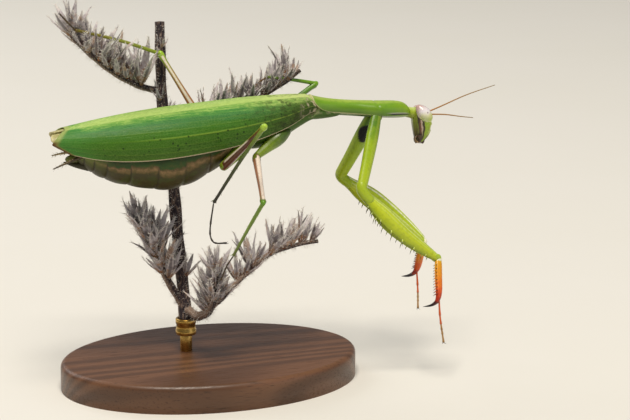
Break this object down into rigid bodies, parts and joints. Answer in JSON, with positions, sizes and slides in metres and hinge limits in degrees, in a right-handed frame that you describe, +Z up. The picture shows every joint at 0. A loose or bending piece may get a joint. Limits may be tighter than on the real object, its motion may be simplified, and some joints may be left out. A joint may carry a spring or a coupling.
{
  "type": "praying mantis on a stem",
  "caption": "Green praying mantis, life size, standing head to the right on a cut dry flower stem held by a small oval wooden stand with a brass rod.",
  "frame": {"origin": "centre of the oval base's underside", "axes": "+X forward, the way the mantis faces and along the body; +Y to the animal's left; +Z up"},
  "size_m": [0.0841, 0.038, 0.0673],
  "materials": {
    "wing_case": "satin chitin, veined, mid green with a pale leading edge",
    "hind_wing": "thin brownish membrane",
    "fore_leg": "satin bright lime chitin",
    "fore_shin": "satin orange to red chitin, dark claws",
    "body_green": "satin green chitin",
    "femur": "satin reddish-brown chitin with a pale line",
    "tibia": "satin green to olive chitin",
    "tarsus": "satin dark brown chitin",
    "belly": "soft banded skin, olive brown with a tan band",
    "eye": "smooth, pinkish white to pale green",
    "mouth": "dark brown chitin",
    "feeler": "fine ringed threads",
    "stem": "dry dark plant stem",
    "dry_flowers": "dry bristly grey-mauve calyces",
    "stand_wood": "oiled dark hardwood",
    "stand_brass": "satin brass"
  },
  "bodies": {
    "root": {"tegmen_left": "wing_case", "tegmen_right": "wing_case", "hindwing_left": "hind_wing", "hindwing_right": "hind_wing", "fore_right_coxa": "fore_leg", "fore_right_femur": "fore_leg", "fore_right_tibia": "fore_shin", "fore_right_tarsus": "fore_shin", "fore_left_coxa": "fore_leg", "fore_left_femur": "fore_leg", "fore_left_tibia": "fore_shin", "fore_left_tarsus": "fore_shin", "mid_right_coxa": "body_green", "mid_right_femur": "femur", "mid_right_tibia": "tibia", "mid_right_tarsus": "tarsus", "mid_left_coxa": "body_green", "mid_left_femur": "femur", "mid_left_tibia": "tibia", "mid_left_tarsus": "tarsus", "hind_right_coxa": "body_green", "hind_right_femur": "femur", "hind_right_tibia": "tibia", "hind_right_tarsus": "tarsus", "hind_left_coxa": "body_green", "hind_left_femur": "femur", "hind_left_tibia": "tibia", "hind_left_tarsus": "tarsus", "pterothorax": "body_green", "abdomen": "belly", "pronotum": "body_green", "neck": "body_green", "cercus_right": "tarsus", "cercus_left": "tarsus", "eye_left": "eye", "eye_right": "eye", "mouthparts": "mouth", "antenna_right": "feeler", "antenna_left": "feeler", "head": "body_green", "perch_stem": "stem", "perch_twig_high_left": "dry_flowers", "perch_twig_high_right": "dry_flowers", "perch_twig_near": "dry_flowers", "perch_twig_right": "dry_flowers", "perch_twig_low_left": "dry_flowers", "stand_base": "stand_wood", "stand_rod": "stand_brass", "stand_collar": "stand_brass"}
  },
  "joints": []
}
